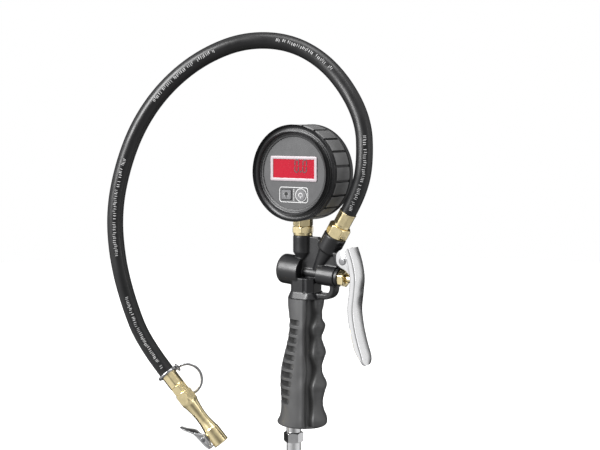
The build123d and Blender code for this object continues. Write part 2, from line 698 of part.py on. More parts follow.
def chuck_clip_lever():
    """Thumb lever: curved plate, two side arms and a jaw tooth at the mouth."""
    pivot_x, pivot_along = CLIP_PIVOT
    outer = [(x, 0, along) for x, along in CLIP_OUTER]
    inner = [(x, 0, along) for x, along in [(18.2, 40.2), (15.8, 45.8), (12.2, 51.6), (11.6, 56.5)]]
    plate_face = make_face(Curve() + [
        Spline(*outer[:4]), Line(outer[3], inner[3]), Spline(*inner[::-1]), Line(inner[0], outer[0]),
    ])
    thumb = extrude(plate_face, 4.6, dir=(0, 1, 0), both=True)
    side_face = make_face(Polyline(
        outer[2], outer[3], outer[4], outer[5],
        (9.0, 0, 69.6), (7.0, 0, 64.6), (7.0, 0, 57.4), (11.4, 0, 51.6),
        close=True,
    ))
    sides = extrude(side_face, 4.6, dir=(0, 1, 0), both=True) - block((10, 0, 60), (20, 7.2, 30))
    jaw_bar = Pos(9.6, 0, 68.6) * Box(2.4, 9.2, 1.8)
    tooth = Pos(6.9, 0, 68.6) * Box(4.2, 3.0, 1.6)
    pin_hole = Pos(pivot_x, 0, pivot_along) * Rot(90, 0, 0) * Cylinder(1.2 + FIT, 12)
    return chuck_plane * (thumb + sides + jaw_bar + tooth - pin_hole)


# ---------------------------------------------------------------- key ring
EYELET = (-7.5, 10.3, 0)        # on the chuck's frame
RING_RADIUS = 12.5
RING_WIRE = 1.0


def ring_collar():
    """Wire collar around the end of the hose, with an eyelet bent out of it."""
    band = chuck_plane * Torus(7.85, 1.3)
    eyelet = chuck_plane * Pos(*EYELET) * Rot(0, 90, 0) * Torus(2.7, 0.9)
    root = Plane(origin=(-5.5, 5.6, 0), z_dir=(-1, 1, 0))
    return band + eyelet + chuck_plane * rod(root, 1.0, 0, 2.9)


def key_ring():
    center = (EYELET[0], EYELET[1], RING_RADIUS)
    return chuck_plane * Pos(*center) * Rot(90, 0, 0) * Torus(RING_RADIUS, RING_WIRE)


# ---------------------------------------------------------------- write the pieces
palm_shell, finger_shell = grip_shells()

PIECES = {
    "inlet_plug": inlet_plug(),
    "inlet_washer": inlet_washer(),
    "grip_palm": palm_shell,
    "grip_fingers": finger_shell,
    "valve_body": valve_body(),
    "valve_rear_cap": valve_rear_cap(),
    "valve_spring": valve_spring(),
    "valve_poppet": valve_poppet(),
    "poppet_seal": poppet_seal(),
    "valve_plunger": valve_plunger(),
    "gland_nut": gland_nut(),
    "gland_lock_ring": gland_lock_ring(),
    "stem_seal": stem_seal(),
    "trigger_lever": trigger_lever(),
    "trigger_pin": trigger_pin(),
    "gauge_boot": gauge_boot(),
    "gauge_case": gauge_case(),
    "case_screws": case_screws(),
    "battery_door": battery_door(),
    "batteries": batteries(),
    "battery_contacts": battery_contacts(),
    "circuit_board": circuit_board(),
    "pressure_sensor": pressure_sensor(),
    "dial_plate": dial_plate(),
    "lcd_frame": lcd_frame(),
    "lcd_screen": lcd_screen(),
    "lcd_window": lcd_window(),
    "button_surround": button_surround(),
    "button_left": button_left(),
    "button_right": button_right(),
    "button_switches": button_switches(),
    "gauge_stem": gauge_stem(),
    "gauge_nut": gauge_nut(),
    "outlet_fitting": outlet_fitting(),
    "hose_ferrule_gun": hose_ferrule_gun(),
    "hose": hose(),
    "hose_ferrule_chuck": hose_ferrule_chuck(),
    "chuck_coupling": chuck_coupling(),
    "chuck_body": chuck_body(),
    "chuck_seal": chuck_seal(),
    "chuck_core_pin": chuck_core_pin(),
    "clip_bracket": clip_bracket(),
    "clip_pin": clip_pin(),
    "clip_spring": clip_spring(),
    "chuck_clip_lever": chuck_clip_lever(),
    "ring_collar": ring_collar(),
    "key_ring": key_ring(),
}

os.makedirs("parts", exist_ok=True)
for name, shape in PIECES.items():
    export_step(shape, f"parts/{name}.step")
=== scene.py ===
import math
import random

import bmesh
import bpy
import numpy as np
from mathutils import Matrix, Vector


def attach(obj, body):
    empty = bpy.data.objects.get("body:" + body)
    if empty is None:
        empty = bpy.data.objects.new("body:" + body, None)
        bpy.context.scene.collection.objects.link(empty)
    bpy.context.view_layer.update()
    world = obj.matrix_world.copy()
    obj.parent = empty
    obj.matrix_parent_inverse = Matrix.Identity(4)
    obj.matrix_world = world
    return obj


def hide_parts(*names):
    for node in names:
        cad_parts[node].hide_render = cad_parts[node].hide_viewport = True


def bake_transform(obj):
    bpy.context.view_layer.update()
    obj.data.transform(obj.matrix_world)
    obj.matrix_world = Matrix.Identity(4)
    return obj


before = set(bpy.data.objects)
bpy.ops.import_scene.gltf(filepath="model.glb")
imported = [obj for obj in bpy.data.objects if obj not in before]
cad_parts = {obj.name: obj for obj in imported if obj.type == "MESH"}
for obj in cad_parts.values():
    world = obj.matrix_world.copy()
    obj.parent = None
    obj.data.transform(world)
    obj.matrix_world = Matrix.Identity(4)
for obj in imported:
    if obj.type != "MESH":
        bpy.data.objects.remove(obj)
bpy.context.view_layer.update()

MM = 0.001
TAU = 2 * math.pi


def new_object(name, data):
    piece = bpy.data.objects.new(name, data)
    bpy.context.scene.collection.objects.link(piece)
    return piece


# -------------------- camera
CAMERA_PLACE = (498.0, -757.4, 283.0)  # millimetres, in the part's frame
CAMERA_AZIMUTH = 33.0  # degrees round the upright axis
CAMERA_PITCH = 5.4  # degrees down from level
CAMERA_LENS = 68.46  # millimetres, as is the sensor
CAMERA_SENSOR = 36.0


def add_camera():
    data = bpy.data.cameras.new("camera")
    data.sensor_width = CAMERA_SENSOR
    data.lens = CAMERA_LENS
    data.clip_start = 0.01
    camera = new_object("camera", data)
    camera.location = Vector(CAMERA_PLACE) * MM
    camera.rotation_euler = (math.radians(90 - CAMERA_PITCH), 0, math.radians(CAMERA_AZIMUTH))
    bpy.context.scene.camera = camera


add_camera()


# -------------------- places on the object
def unit(vector):
    vector = np.asarray(vector, float)
    return vector / np.linalg.norm(vector)


class Place:
    """An origin and axes in millimetres. Local points on it become metres in the part's frame."""

    def __init__(self, origin, z_dir, x_dir):
        self.origin = np.asarray(origin, float)
        self.z = unit(z_dir)
        x_dir = np.asarray(x_dir, float)
        self.x = unit(x_dir - self.z * x_dir.dot(self.z))
        self.y = np.cross(self.z, self.x)

    def points(self, local):
        axes = np.array([self.x, self.y, self.z])
        return (self.origin + np.asarray(local, float) @ axes) * MM

    def point(self, x, y, z):
        return Vector(self.points([(x, y, z)])[0])


def leaning(degrees):
    return (math.sin(math.radians(degrees)), 0, math.cos(math.radians(degrees)))


MAST_X = 9.0
GAUGE_CENTER_Z = 239.5
PLUG = Place((0, 0, 0), (0, 0, 1), (1, 0, 0))  # the part's own axes
MAST = Place((MAST_X, 0, 0), (0, 0, 1), (1, 0, 0))
VALVE = Place((MAST_X, 0, 160.8), leaning(94), (0, 1, 0))
OUTLET = Place((21.3, 0, 161), leaning(31), (0, 1, 0))
GAUGE = Place((MAST_X, 0, GAUGE_CENTER_Z), (0, 1, 0), (1, 0, 0))
CHUCK = Place((-92.0, -47.0, 74.5), (0.64, 0.16, -0.75), (-0.62, -0.47, -0.63))

HOSE_DIAMETER = 13.0
OUTLET_EXIT = 57.0  # end of the gun's ferrule, along the outlet
# printed stretches, in millimetres along the hose from the gun, and the side of the hose they are on
PRINT_STRETCHES = [(4, 62), (120, 172), (222, 288), (338, 418), (452, 520)]
PRINT_SIDE = np.array((0.54, -0.83, 0.1))
PRINT_RISE = 0.03
PRINT_HALF_ANGLE = 0.17  # half the height of a bar, in radians round the hose


# -------------------- materials
class Shader:
    """A material under construction: the few node patterns that the materials share."""

    def __init__(self, name, color, roughness, metallic=0.0):
        self.material = bpy.data.materials.new(name)
        self.material.use_nodes = True
        self.tree = self.material.node_tree
        self.surface = self.tree.nodes["Principled BSDF"]
        self.set("Base Color", (*color, 1.0))
        self.set("Roughness", roughness)
        self.set("Metallic", metallic)
        self.object_space = self.node("ShaderNodeTexCoord").outputs["Object"]

    def node(self, kind, **inputs):
        node = self.tree.nodes.new(kind)
        for key, value in inputs.items():
            node.inputs[key.replace("_", " ")].default_value = value
        return node

    def set(self, socket, value):
        self.surface.inputs[socket].default_value = value

    def link(self, start, end):
        self.tree.links.new(start, end)

    def noise(self, scale, detail=3.0, roughness=0.55, stretch=(1, 1, 1)):
        mapping = self.node("ShaderNodeMapping")
        mapping.inputs["Scale"].default_value = stretch
        noise = self.node("ShaderNodeTexNoise", Scale=scale, Detail=detail, Roughness=roughness)
        self.link(self.object_space, mapping.inputs["Vector"])
        self.link(mapping.outputs["Vector"], noise.inputs["Vector"])
        return noise.outputs["Fac"]

    def ramp(self, factor, low, high, start=0.0, end=1.0):
        """Map start..end of a factor to low..high; both are numbers or both are colours."""
        if isinstance(low, tuple):
            ramp = self.node("ShaderNodeValToRGB")
            for stop, place, color in zip(ramp.color_ramp.elements, (start, end), (low, high)):
                stop.position, stop.color = place, (*color, 1)
            self.link(factor, ramp.inputs["Fac"])
            return ramp.outputs["Color"]
        ramp = self.node("ShaderNodeMapRange", From_Min=start, From_Max=end, To_Min=low, To_Max=high)
        self.link(factor, ramp.inputs["Value"])
        return ramp.outputs["Result"]

    def vary(self, socket, factor, low, high, start=0.3, end=0.7):
        self.link(self.ramp(factor, low, high, start, end), self.surface.inputs[socket])

    def bump(self, factor, strength, distance):
        bump = self.node("ShaderNodeBump", Strength=strength, Distance=distance)
        self.link(factor, bump.inputs["Height"])
        self.link(bump.outputs["Normal"], self.surface.inputs["Normal"])

    def fade(self, factor, socket, value):
        """Lead a linked socket over to one colour or one number as the factor rises to 1."""
        mix = self.node("ShaderNodeMix")
        mix.data_type = "RGBA" if isinstance(value, tuple) else "FLOAT"
        self.link(factor, mix.inputs["Factor"])
        self.link(self.surface.inputs[socket].links[0].from_socket, mix.inputs["A"])
        mix.inputs["B"].default_value = value
        self.link(mix.outputs["Result"], self.surface.inputs[socket])


# roughness of the plastic where shade is painted fully
PAINTED_SHADE_ROUGHNESS = 0.95


def grained_plastic(
        name, color, roughness, grain=0.00008, scale=1800, variation=0.2, sheen=0.5, painted_shade=None):
    """Moulded plastic with a fine even grain; a given shade colour paints shade on it, darker and duller, by
    the painted shade value stored on the mesh.
    """
    shader = Shader(name, color, roughness)
    shader.set("Specular IOR Level", sheen)
    low = tuple(channel * (1 - variation) for channel in color)
    high = tuple(channel * (1 + variation) for channel in color)
    shader.vary("Base Color", shader.noise(40, 2), low, high)
    shader.vary("Roughness", shader.noise(120, 3), roughness - 0.06, roughness + 0.08)
    shader.bump(shader.noise(scale, 2), 0.5, grain)
    if painted_shade is not None:
        # Painted shade: the base colour fades to the shade colour, and the roughness to a dull value, by a
        # value stored on the mesh.
        attribute = shader.node("ShaderNodeAttribute")
        attribute.attribute_name = "painted_shade"
        shader.fade(attribute.outputs["Fac"], "Base Color", (*painted_shade, 1))
        shader.fade(attribute.outputs["Fac"], "Roughness", PAINTED_SHADE_ROUGHNESS)
    return shader.material


def satin_rubber(name, color, roughness):
    """Moulded rubber: soft sheen, faint dust and moulding ripple."""
    shader = Shader(name, color, roughness)
    high = tuple(channel * 1.5 for channel in color)
    shader.vary("Base Color", shader.noise(90, 5, 0.7), color, high, 0.45, 0.8)
    shader.vary("Roughness", shader.noise(60, 3), roughness - 0.05, roughness + 0.1)
    shader.bump(shader.noise(1400, 3), 0.3, 0.00005)
    shader.set("Specular IOR Level", 0.45)
    return shader.material


def machined_metal(name, color, roughness, marks=0.00002, variation=0.12):
    """Cut metal: fine tool marks, uneven polish and slight tarnish."""
    shader = Shader(name, color, roughness, 1.0)
    low = tuple(channel * (1 - variation) for channel in color)
    shader.vary("Base Color", shader.noise(150, 4, 0.6), low, color, 0.35, 0.6)
    shader.vary("Roughness", shader.noise(260, 4), roughness * 0.75, roughness * 1.4)
    shader.bump(shader.noise(900, 4, 0.6, (1, 1, 6)), 0.35, marks)
    return shader.material


def flat_plastic(name, color, roughness):
    shader = Shader(name, color, roughness)
    shader.vary("Roughness", shader.noise(200, 3), roughness - 0.04, roughness + 0.06)
    shader.bump(shader.noise(2600, 2), 0.25, 0.00003)
    return shader.material


def red_display():
    """Backlit red panel, faintly uneven."""
    shader = Shader("red_display", (0.4, 0.01, 0.02), 0.5)
    glow = shader.ramp(shader.noise(25, 1), (0.27, 0.002, 0.012), (0.32, 0.003, 0.018))
    shader.link(glow, shader.surface.inputs["Base Color"])
    shader.link(glow, shader.surface.inputs["Emission Color"])
    shader.set("Emission Strength", 0.55)
    shader.set("Specular IOR Level", 0.05)
    return shader.material


def window_glass():
    shader = Shader("window_glass", (0.1, 0.1, 0.1), 0.04)
    shader.set("Alpha", 0.05)
    shader.set("Specular IOR Level", 0.1)
    shader.vary("Roughness", shader.noise(80, 2), 0.02, 0.08)
    return shader.material


# grip plastic; its slots and side groove get painted shade, nearly black
grip_plastic = grained_plastic(
    "grip_plastic", (0.050, 0.050, 0.051), 0.42, 0.00010, 1500, sheen=0.65, painted_shade=(0.005, 0.005, 0.005))
casting_paint = grained_plastic("casting_paint", (0.009, 0.009, 0.010), 0.34, 0.00005, 1100, 0.2, 0.45)
case_plastic = grained_plastic("case_plastic", (0.04, 0.04, 0.041), 0.5)
boot_rubber = satin_rubber("boot_rubber", (0.016, 0.016, 0.017), 0.33)
hose_rubber = satin_rubber("hose_rubber", (0.004, 0.004, 0.0045), 0.33)
seal_rubber = satin_rubber("seal_rubber", (0.015, 0.015, 0.015), 0.5)
brass = machined_metal("brass", (0.92, 0.78, 0.46), 0.19)
plug_steel = machined_metal("plug_steel", (0.72, 0.72, 0.73), 0.08)
lever_chrome = machined_metal("lever_chrome", (0.93, 0.93, 0.94), 0.12, 0.000004, 0.04)
wire_steel = machined_metal("wire_steel", (0.40, 0.40, 0.41), 0.2)
dial_plastic = flat_plastic("dial_plastic", (0.054, 0.054, 0.056), 0.55)
display_trim = flat_plastic("display_trim", (0.36, 0.31, 0.33), 0.4)
white_print = flat_plastic("white_print", (0.55, 0.55, 0.55), 0.45)
digit_ink = flat_plastic("digit_ink", (0.05, 0.003, 0.006), 0.4)
button_plastic = grained_plastic("button_plastic", (0.11, 0.11, 0.115), 0.42)
board_green = flat_plastic("board_green", (0.02, 0.16, 0.07), 0.4)
cell_wrap = flat_plastic("cell_wrap", (0.12, 0.13, 0.18), 0.3)
black_gloss = flat_plastic("black_gloss", (0.012, 0.012, 0.012), 0.25)
# matte rubber of the boot's side pads, much lighter than the boot: partly a matte pad finish, partly painted
# light on the pads
pad_rubber_painted_light = grained_plastic("pad_rubber_painted_light", (0.150, 0.150, 0.151), 0.5, 0.00006, 1300)
hose_ink = flat_plastic("hose_ink", (0.42, 0.42, 0.42), 0.6)
display_red = red_display()
clear_window = window_glass()


# -------------------- mesh helpers
def add_object(name, mesh, material):
    mesh.materials.clear()
    mesh.materials.append(material)
    return new_object(name, mesh)


def add_mesh(name, verts, faces, material):
    mesh = bpy.data.meshes.new(name)
    mesh.from_pydata(verts, [], faces)
    return add_object(name, mesh, material)


def band(low, high, count):
    """Quads between two rings of count points, which start at low and at high."""
    steps = [(step, (step + 1) % count) for step in range(count)]
    return [(low + step, low + after, high + after, high + step) for step, after in steps]


def smooth(mesh, sharp_angle):
    mesh.shade_smooth()
    mesh.set_sharp_from_angle(angle=math.radians(sharp_angle))


def skin(name, place, rings, material, sharp_angle=40.0):
    """A tube of quads through rings of local points.

    It is closed on itself if the last ring is the first one again, and else capped at both ends."""
    closed = np.allclose(rings[0], rings[-1])
    if closed:
        rings = rings[:-1]
    count = len(rings[0])
    points = np.concatenate([place.points(ring) for ring in rings])
    verts = [tuple(point) for point in points]
    faces = []
    pairs = len(rings) if closed else len(rings) - 1
    for index in range(pairs):
        faces += band(index * count, (index + 1) % len(rings) * count, count)
    if not closed:
        for ring in (0, len(rings) - 1):
            center = len(verts)
            verts.append(tuple(points[ring * count:(ring + 1) * count].mean(axis=0)))
            for step in range(count):
                faces.append((ring * count + (step + 1) % count, ring * count + step, center))
    piece = add_mesh(name, verts, faces, material)
    work = bmesh.new()
    work.from_mesh(piece.data)
    bmesh.ops.remove_doubles(work, verts=work.verts, dist=1e-6)
    bmesh.ops.recalc_face_normals(work, faces=work.faces)
    work.to_mesh(piece.data)
    work.free()
    smooth(piece.data, sharp_angle)
    return piece


def softened(outline, radius):
    """Round every corner of an open (radius, along) outline."""
    steps = 4
    rounded = [outline[0]]
    for before, corner, after in zip(outline, outline[1:], outline[2:]):
        before, corner, after = (np.array(point, float) for point in (before, corner, after))
        arriving = np.linalg.norm(corner - before)
        leaving = np.linalg.norm(after - corner)
        reach = min(radius, arriving * 0.45, leaving * 0.45)
        start = corner + (before - corner) / arriving * reach
        end = corner + (after - corner) / leaving * reach
        for step in range(steps + 1):
            t = step / steps
            rounded.append(tuple((1 - t) ** 2 * start + 2 * t * (1 - t) * corner + t * t * end))
    rounded.append(outline[-1])
    return rounded


def lathe(name, place, outline, material, shape=None, around=96, sharp_angle=40.0):
    """Turn (radius, along) points; shape(angle, radius, along) may dent or flatten the wall."""
    angle = np.linspace(0, TAU, around, endpoint=False)
    rings = []
    for radius, along in outline:
        wall = np.full(around, float(radius)) if shape is None else shape(angle, radius, along)
        rings.append(np.stack([wall * np.cos(angle), wall * np.sin(angle), np.full(around, along)], axis=1))
    return skin(name, place, rings, material, sharp_angle)


def hexagonal(flats, turn):
    """Flatten a turned wall to a hexagonal bar wherever the wall is wider than the bar."""
    def shape(angle, radius, along):
        slice_angle = TAU / 6
        bend = (angle + turn) % slice_angle - slice_angle / 2
        return np.minimum(flats / 2 / np.cos(bend), radius)
    return shape


def smoothstep(low, high, value):
    t = np.clip((value - low) / (high - low), 0, 1)
    return t * t * (3 - 2 * t)


def cad_copy(node, name, material):
    """A welded copy of a CAD node's mesh, to be worked on and shown instead of it."""
    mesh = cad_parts[node].data.copy()
    mesh.name = name
    work = bmesh.new()
    work.from_mesh(mesh)
    bmesh.ops.remove_doubles(work, verts=work.verts, dist=2e-6)
    bmesh.ops.dissolve_limit(work, angle_limit=math.radians(0.5), verts=work.verts, edges=work.edges)
    work.to_mesh(mesh)
    work.free()
    return add_object(name, mesh, material)


def apply_modifiers(piece):
    graph = bpy.context.evaluated_depsgraph_get()
    mesh = bpy.data.meshes.new_from_object(piece.evaluated_get(graph))
    piece.modifiers.clear()
    piece.data = mesh


def rounded_copy(node, material, width, body="gun"):
    """A CAD node with its sharp edges broken, as a machined or moulded piece has."""
    piece = cad_copy(node, node + "_finished", material)
    bevel = piece.modifiers.new("edges", "BEVEL")
    bevel.width = width * MM
    bevel.segments = 2
    bevel.limit_method = "ANGLE"
    bevel.angle_limit = math.radians(38)
    apply_modifiers(piece)
    smooth(piece.data, 45)
    show(piece, body, node)


def cast_copy(node, material, voxel, passes):
    """A CAD node with every edge and inner corner melted together, as a casting has."""
    piece = cad_copy(node, node + "_cast", material)
    remesh = piece.modifiers.new("remesh", "REMESH")
    remesh.mode = "VOXEL"
    remesh.voxel_size = voxel * MM
    relax = piece.modifiers.new("relax", "SMOOTH")
    relax.factor = 0.5
    relax.iterations = passes
    apply_modifiers(piece)
    piece.data.shade_smooth()
    show(piece, "gun", node)


def show(piece, body, *nodes):
    """Ride on a body, in place of the CAD nodes that it stands for."""
    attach(piece, body)
    if nodes:
        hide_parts(*nodes)


def turned(node, place, outline, rounding, material, shape=None, around=96, body="gun", name=None):
    """A lathed piece with softened corners, shown instead of a CAD node."""
    name = name or node + "_turned"
    show(lathe(name, place, softened(outline, rounding), material, shape, around), body, node)


# -------------------- hose
def hose_route():
    """The corners of the hose's route, in millimetres, from the gun's fitting to the chuck."""
    leaving = OUTLET.origin + OUTLET.z * OUTLET_EXIT
    return [
        leaving, leaving + OUTLET.z * 17,
        (66, -1, 247.5), (62, 3, 283), (36, 3, 320), (5, -6, 341),
        (-30, -21, 344), (-62, -36, 331), (-89, -49, 308), (-110, -58, 278),
        (-123, -64, 243), (-130, -67, 206), (-128, -66, 168), (-121, -61, 132),
        CHUCK.origin - CHUCK.z * 32, CHUCK.origin,
    ]


def add_hose():
    data = bpy.data.curves.new("air_hose", "CURVE")
    data.dimensions = "3D"
    data.resolution_u = 24
    data.bevel_depth = HOSE_DIAMETER / 2 * MM
    data.bevel_resolution = 12
    data.use_fill_caps = True
    spline = data.splines.new("NURBS")
    route = hose_route()
    spline.points.add(len(route) - 1)
    for point, place in zip(spline.points, route):
        point.co = (place[0] * MM, place[1] * MM, place[2] * MM, 1)
    spline.order_u = 3
    spline.use_endpoint_u = True
    data.materials.append(hose_rubber)
    hose = new_object("air_hose", data)
    show(hose, "gun", "hose")
    return hose


hose = add_hose()


def hose_middle_line():
    """Points along the middle of the finished hose, in metres, and the length up to each of them."""
    line = hose.data.copy()
    line.bevel_depth = 0
    bare = bpy.data.objects.new("hose_line", line)
    mesh = bpy.data.meshes.new_from_object(bare)
    points = np.array([tuple(vertex.co) for vertex in mesh.vertices])
    bpy.data.objects.remove(bare)
    bpy.data.curves.remove(line)
    bpy.data.meshes.remove(mesh)
    steps = np.linalg.norm(np.diff(points, axis=0), axis=1)
    return points, np.concatenate([[0], np.cumsum(steps)])


def hose_bar(points, lengths, at, size, lift):
    """Three rows of three points on the side of the hose, lift radians round from the print's middle."""
    verts = []
    radius = (HOSE_DIAMETER / 2 + PRINT_RISE) * MM
    for part in np.linspace(0, 1, 3):
        where = (at + part * size) * MM
        center, ahead = (
            np.array([np.interp(length, lengths, column) for column in points.T])
            for length in (where, where + MM))
        along = unit(ahead - center)
        outward = unit(PRINT_SIDE - along * along.dot(PRINT_SIDE))
        sideways = np.cross(along, outward)
        for turn in (lift - PRINT_HALF_ANGLE, lift, lift + PRINT_HALF_ANGLE):
            verts.append(tuple(center + radius * (outward * math.cos(turn) + sideways * math.sin(turn))))
    return verts


def add_hose_print():
    """Plain upright bars along the side of the hose, in place of any writing."""
    points, lengths = hose_middle_line()
    dice = random.Random(7)
    verts, faces = [], []
    for start, end in PRINT_STRETCHES:
        at = start
        while at < end:
            size = dice.uniform(0.3, 0.6)
            if dice.random() < 0.85:
                first = len(verts)
                verts += hose_bar(points, lengths, at, size, dice.choice((-0.06, 0.0, 0.06)))
                for corner in (first, first + 1, first + 3, first + 4):
                    faces.append((corner, corner + 1, corner + 4, corner + 3))
            at += size + dice.uniform(0.6, 1.5)
    marks = add_mesh("hose_print", verts, faces, hose_ink)
    show(marks, "gun")


add_hose_print()


# -------------------- inlet plug
def add_plug():
    outline = [
        (2.5, -10), (3.3, -10), (3.95, -9.3), (3.95, 0), (5.9, 1.6), (5.9, 5.4), (4.5, 6.6),
        (4.5, 9.4), (5.9, 10.6), (5.9, 21), (7.0, 21), (8.2, 21.8), (8.2, 28.2), (7.0, 29),
        (6.0, 29.1), (6.0, 43), (2.5, 43), (2.5, -10),
    ]
    turned("inlet_plug", PLUG, outline, 0.45, plug_steel, hexagonal(14.0, TAU / 12))
    washer = [(6.1, 36.6), (7.9, 36.6), (7.9, 37.9), (6.1, 37.9), (6.1, 36.6)]
    turned("inlet_washer", PLUG, washer, 0.4, seal_rubber)


# -------------------- grip
# height, palm-side reach and finger-side reach of the grip's silhouette
GRIP_STATIONS = [
    (36.5, -15.6, 30.2), (38.5, -15.8, 31.8), (42.0, -13.9, 32.4), (49.0, -12.2, 29.8),
    (57.0, -12.3, 28.9), (65.0, -12.7, 30.4), (70.4, -12.9, 32.0), (77.0, -12.6, 29.6),
    (85.0, -11.4, 28.8), (91.0, -9.9, 29.6), (96.0, -8.5, 31.0), (102.0, -6.8, 29.4),
    (109.0, -5.2, 28.4), (114.0, -4.5, 29.6), (117.6, -4.2, 30.5), (122.0, -4.1, 29.2),
    (128.0, -4.5, 28.8), (134.0, -5.3, 29.4), (140.0, -5.4, 29.8),
]
# how much of the half depth, both squared, shows in a silhouette seen from the camera's azimuth
GRIP_OBLIQUE = 0.42
GRIP_BOTTOM, GRIP_TOP = 36.5, 140.0
FOOT_RADIUS = 1.6
SLOT_COUNT = 10
SLOT_PITCH = 7.1
SLOT_TOP_Z = 121.5
SLOT_TOP_END = 15.4  # x of the top slot's front end
SLOT_END_STEP = 1.0  # how much shorter each slot is than the one above
SLOT_RADIUS = 2.2
SLOT_DEPTH = 2.8
GROOVE_DEPTH = 3.4
GROOVE_FULL_Z = 38.5  # the side groove is at full depth from here up
PARTING_X = 20.5
LIP_X = 17.6


def grip_outline(height):
    """Middle, palm reach, finger reach and half depth of the grip at a height."""
    heights, palms, fingers = np.array(GRIP_STATIONS).T
    palm = smooth_lookup(height, heights, palms)
    finger = smooth_lookup(height, heights, fingers)
    depth = 14.5 + 0.025 * (GRIP_TOP - height)
    middle = (palm + 30) / 2
    back = math.sqrt((middle - palm) ** 2 - GRIP_OBLIQUE * depth ** 2)
    front = math.sqrt((finger - middle) ** 2 - GRIP_OBLIQUE * depth ** 2)
    return middle, back, front, depth


def smooth_lookup(where, knots, values):
    """Cubic interpolation through unevenly spaced knots."""
    slopes = np.gradient(values, knots)
    index = int(np.clip(np.searchsorted(knots, where) - 1, 0, len(knots) - 2))
    span = knots[index + 1] - knots[index]
    t = (where - knots[index]) / span
    start, end = values[index], values[index + 1]
    return (
        start * (1 + 2 * t) * (1 - t) ** 2 + end * t * t * (3 - 2 * t)
        + slopes[index] * span * t * (1 - t) ** 2 - slopes[index + 1] * span * t * t * (1 - t)
    )


def groove_line(height):
    """The x of the middle of the groove between palm part and finger part."""
    return 22.0 + 0.6 * np.sin((height - 70) / 8)


def slot_end(index):
    """The x where the straight part of a slot ends and its round end begins."""
    return SLOT_TOP_END - SLOT_END_STEP * index - SLOT_RADIUS


def slot_recess(x, height, turn):
    """How deep the palm slots go at one height; they fade out before the back of the palm."""
    depth = np.zeros_like(x)
    behind = smoothstep(math.radians(22), math.radians(36), turn)
    for index in range(SLOT_COUNT):
        middle = SLOT_TOP_Z - SLOT_PITCH * index
        end = slot_end(index)
        distance = np.hypot(np.maximum(x - end, 0), height - middle) - SLOT_RADIUS
        floor = SLOT_DEPTH - 0.9 * smoothstep(end - 4, end + SLOT_RADIUS, x)
        depth = np.maximum(depth, floor * smoothstep(0.2, -0.2, distance))
    return depth * behind


def grip_ring(height, around):
    """One section: two half ellipses, with foot, slots, parting line, side groove and its raised lip."""
    middle, back, front, depth = grip_outline(height)
    angle = np.linspace(0, TAU, around, endpoint=False)
    cosine, sine = np.cos(angle), np.sin(angle)
    reach = np.where(cosine < 0, back, front)
    x = middle + reach * cosine
    below = max(FOOT_RADIUS - (height - GRIP_BOTTOM), 0)
    foot = FOOT_RADIUS - math.sqrt(FOOT_RADIUS ** 2 - below ** 2)
    slots = slot_recess(x, height, np.abs(angle - math.pi))
    parting_line = 0.35 * np.exp(-((x - PARTING_X) / 0.3) ** 2)
    fade = smoothstep(GRIP_BOTTOM, GROOVE_FULL_Z, height)
    groove = GROOVE_DEPTH * fade * np.exp(-((x - groove_line(height)) / 2.5) ** 4)
    lip = 0.5 * fade * np.exp(-((x - LIP_X) / 1.6) ** 2)
    sunk = foot + slots + parting_line + groove - lip
    normal = np.stack([cosine / reach, sine / depth], axis=1)
    normal /= np.linalg.norm(normal, axis=1, keepdims=True)
    place = np.stack([x, depth * sine], axis=1) - normal * sunk[:, None]
    return np.column_stack([place, np.full(around, height)])


def mark_painted_shade(grip, heights):
    """Store for each point how much shade is painted on it, from 0 to 1: in the slots, fading out towards
    their front ends, and in the side groove.
    """
    place = np.empty(len(grip.data.vertices) * 3, np.float32)
    grip.data.vertices.foreach_get("co", place)
    x, _, z = place.reshape(-1, 3).T / MM
    outlines = np.array([grip_outline(height) for height in heights]).T
    middle = np.interp(z, heights, outlines[0])
    back = np.interp(z, heights, outlines[1])
    index = np.clip(np.round((SLOT_TOP_Z - z) / SLOT_PITCH), 0, SLOT_COUNT - 1)
    off_middle = np.abs(SLOT_TOP_Z - SLOT_PITCH * index - z)
    end = slot_end(index)
    slot = smoothstep(SLOT_RADIUS + 0.1, SLOT_RADIUS - 0.2, off_middle)
    slot = slot * smoothstep(end, end - 4, x) * smoothstep(-0.95, -0.88, (x - middle) / back)
    groove = np.exp(-((x - groove_line(z)) / 2.1) ** 4) * smoothstep(GRIP_BOTTOM, GROOVE_FULL_Z, z)
    # painted shade, stored on the mesh for the grip plastic
    painted_shade = grip.data.attributes.new("painted_shade", "FLOAT", "POINT")
    painted_shade.data.foreach_set("value", np.maximum(slot, groove).astype(np.float32))


def add_grip():
    around = 360
    foot = GRIP_BOTTOM + 0.16 * np.arange(11)
    heights = np.concatenate([foot, np.arange(38.3, GRIP_TOP - 0.1, 0.26), [GRIP_TOP]])
    rings = [grip_ring(height, around) for height in heights]
    grip = skin("grip", PLUG, rings, grip_plastic, sharp_angle=60)
    mark_painted_shade(grip, heights)
    show(grip, "gun", "grip_palm", "grip_fingers")


# -------------------- valve
def add_valve():
    cast_copy("valve_body", casting_paint, 0.45, 3)
    nut_outline = [
        (3.1, 35), (6.0, 35), (7.2, 35.8), (7.2, 39.8), (6.1, 40.5), (3.9, 40.5), (3.1, 39.6), (3.1, 35),
    ]
    turned("gland_nut", VALVE, nut_outline, 0.4, brass, hexagonal(12.5, 0.35))
    lock_outline = [(5.1, 32.1), (7.4, 32.1), (7.4, 34.9), (5.1, 34.9), (5.1, 32.1)]
    turned("gland_lock_ring", VALVE, lock_outline, 0.5, casting_paint, name="gland_lock_turned")
    rod_outline = [
        (0, -6.6), (1.6, -6.6), (1.6, 26), (3.0, 26), (3.0, 49.5), (2.3, 50.6), (1.2, 51), (0, 51),
    ]
    turned(
        "valve_plunger", VALVE, rod_outline, 0.4, brass, around=64, body="plunger", name="plunger_turned")
    add_valve_spring()


